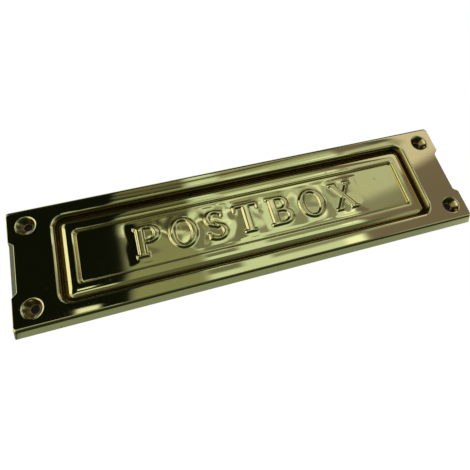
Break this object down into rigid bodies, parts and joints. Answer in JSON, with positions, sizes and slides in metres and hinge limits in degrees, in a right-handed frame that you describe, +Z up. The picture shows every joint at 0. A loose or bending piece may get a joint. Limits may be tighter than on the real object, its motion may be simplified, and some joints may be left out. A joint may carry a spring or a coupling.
{
  "type": "letter plate",
  "caption": "Upright brass letter plate with a splayed rim, a rounded aperture and a sprung flap, hinged along its top edge, that swings inwards for letters.",
  "frame": {"origin": "middle of the plate, on the plane of the door's outer surface, where the skirt's foot rests", "axes": "+X along the plate's length, to the right as seen from outside; +Y into the door; +Z up"},
  "size_m": [0.2548, 0.0072, 0.0662],
  "materials": {
    "plate_brass": "mirror-polished yellow brass, clear lacquered",
    "flap_brass": "mirror-polished yellow brass, clear lacquered",
    "zinc_steel": "dull zinc plate",
    "rod_steel": "bright drawn steel",
    "spring_steel": "dark oiled spring steel"
  },
  "bodies": {
    "plate": {"face_plate": "plate_brass", "hinge_rod": "rod_steel", "rod_bracket_left": "zinc_steel", "rod_bracket_right": "zinc_steel", "rod_clip_left": "spring_steel", "rod_clip_right": "spring_steel", "return_spring_left": "spring_steel", "return_spring_right": "spring_steel"},
    "flap": {"flap": "flap_brass", "flap_hinge_left": "zinc_steel", "flap_hinge_right": "zinc_steel"}
  },
  "joints": [
    {"name": "flap_hinge", "type": "hinge", "parent": "plate", "child": "flap", "pos_m": [0, -0.00145, 0.0276], "axis": [1, 0, 0], "range_deg": [0, 85], "stiffness_Nm_per_rad": 0.02, "springref_deg": -57.3, "deforming": ["return_spring_left", "return_spring_right"]}
  ]
}
